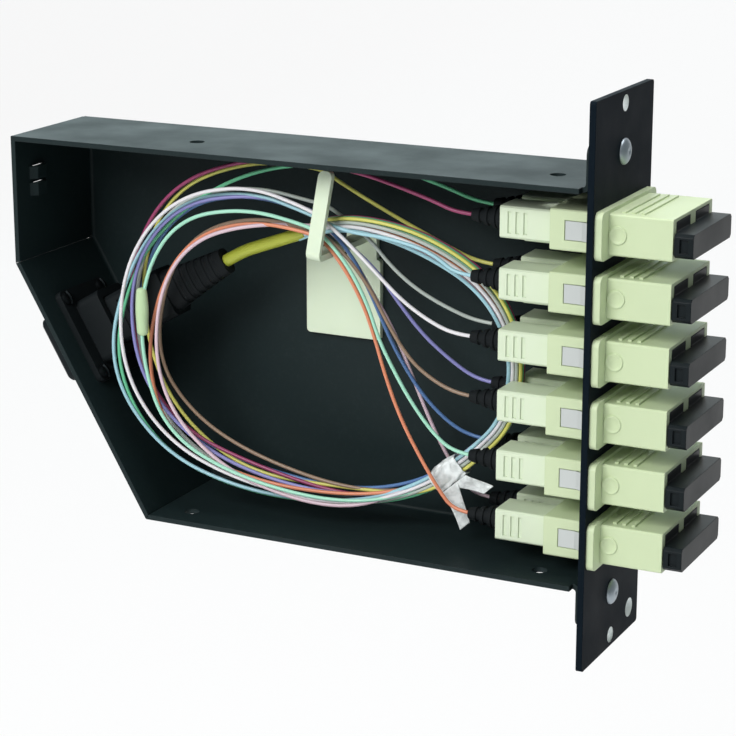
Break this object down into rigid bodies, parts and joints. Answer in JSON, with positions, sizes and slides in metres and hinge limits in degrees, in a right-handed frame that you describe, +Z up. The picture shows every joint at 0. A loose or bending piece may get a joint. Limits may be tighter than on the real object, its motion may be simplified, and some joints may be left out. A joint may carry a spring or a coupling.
{
  "type": "fibre cassette",
  "caption": "Folded steel tray on a tall face plate, with a column of capped duplex fibre adapters, a slanted multi-fibre port, and coloured fibres looped inside.",
  "frame": {"origin": "centre of the face plate's front face, midway between its two fixing holes", "axes": "+X out of the face plate's front, +Y from the tray's open side to its back panel, +Z up along the column of adapters"},
  "size_m": [0.1713, 0.036, 0.13],
  "materials": {
    "plate_black": "satin powder coat",
    "housing_black": "fine textured powder coat",
    "rivet_grey": "satin",
    "spring_steel": "satin",
    "white_ceramic": "polished",
    "adapter_cream": "satin",
    "cap_black": "satin",
    "multi_port_black": "satin",
    "multi_boot_black": "matt",
    "sleeve_yellow": "satin",
    "bundle_aqua": "satin",
    "loop_fibres": "satin",
    "hook_white": "satin",
    "tape_clear": "translucent",
    "binder_pale": "matt",
    "plug_ivory": "satin",
    "boot_black": "matt",
    "fibre_rose": "satin",
    "fibre_blue": "satin",
    "fibre_white": "satin",
    "fibre_brown": "satin",
    "fibre_mint": "satin",
    "fibre_orange": "satin",
    "multi_plug_black": "satin"
  },
  "bodies": {
    "cassette": {"housing": "housing_black", "face_plate": "plate_black", "plate_rivets": "rivet_grey", "retention_springs": "spring_steel", "ferrules": "white_ceramic", "multi_fibre_adapter": "multi_port_black", "multi_fibre_plug": "multi_plug_black", "multi_fibre_boot": "multi_boot_black", "fan_out_sleeve": "sleeve_yellow", "fibre_lead": "bundle_aqua", "fibre_loop": "loop_fibres", "hook_clip": "hook_white", "tape_wrap": "tape_clear", "fibre_binder": "binder_pale", "adapter_1": "adapter_cream", "plug_near_1": "plug_ivory", "plug_far_1": "plug_ivory", "boot_near_1": "boot_black", "boot_far_1": "boot_black", "fibre_tails_1": "fibre_rose", "adapter_2": "adapter_cream", "plug_near_2": "plug_ivory", "plug_far_2": "plug_ivory", "boot_near_2": "boot_black", "boot_far_2": "boot_black", "fibre_tails_2": "fibre_blue", "adapter_3": "adapter_cream", "plug_near_3": "plug_ivory", "plug_far_3": "plug_ivory", "boot_near_3": "boot_black", "boot_far_3": "boot_black", "fibre_tails_3": "fibre_white", "adapter_4": "adapter_cream", "plug_near_4": "plug_ivory", "plug_far_4": "plug_ivory", "boot_near_4": "boot_black", "boot_far_4": "boot_black", "fibre_tails_4": "fibre_brown", "adapter_5": "adapter_cream", "plug_near_5": "plug_ivory", "plug_far_5": "plug_ivory", "boot_near_5": "boot_black", "boot_far_5": "boot_black", "fibre_tails_5": "fibre_mint", "adapter_6": "adapter_cream", "plug_near_6": "plug_ivory", "plug_far_6": "plug_ivory", "boot_near_6": "boot_black", "boot_far_6": "boot_black", "fibre_tails_6": "fibre_orange"},
    "front_cap_1": {"dust_cap_1": "cap_black"},
    "front_cap_2": {"dust_cap_2": "cap_black"},
    "front_cap_3": {"dust_cap_3": "cap_black"},
    "front_cap_4": {"dust_cap_4": "cap_black"},
    "front_cap_5": {"dust_cap_5": "cap_black"},
    "front_cap_6": {"dust_cap_6": "cap_black"},
    "rear_cap": {"multi_fibre_cap": "cap_black"}
  },
  "joints": [
    {"name": "front_cap_1_pull", "type": "slide", "parent": "cassette", "child": "front_cap_1", "axis": [1, 0, 0], "range_m": [0, 0.025]},
    {"name": "front_cap_2_pull", "type": "slide", "parent": "cassette", "child": "front_cap_2", "axis": [1, 0, 0], "range_m": [0, 0.025]},
    {"name": "front_cap_3_pull", "type": "slide", "parent": "cassette", "child": "front_cap_3", "axis": [1, 0, 0], "range_m": [0, 0.025]},
    {"name": "front_cap_4_pull", "type": "slide", "parent": "cassette", "child": "front_cap_4", "axis": [1, 0, 0], "range_m": [0, 0.025]},
    {"name": "front_cap_5_pull", "type": "slide", "parent": "cassette", "child": "front_cap_5", "axis": [1, 0, 0], "range_m": [0, 0.025]},
    {"name": "front_cap_6_pull", "type": "slide", "parent": "cassette", "child": "front_cap_6", "axis": [1, 0, 0], "range_m": [0, 0.025]},
    {"name": "rear_cap_pull", "type": "slide", "parent": "cassette", "child": "rear_cap", "axis": [-0.8643, 0, -0.503], "range_m": [0, 0.012]}
  ]
}
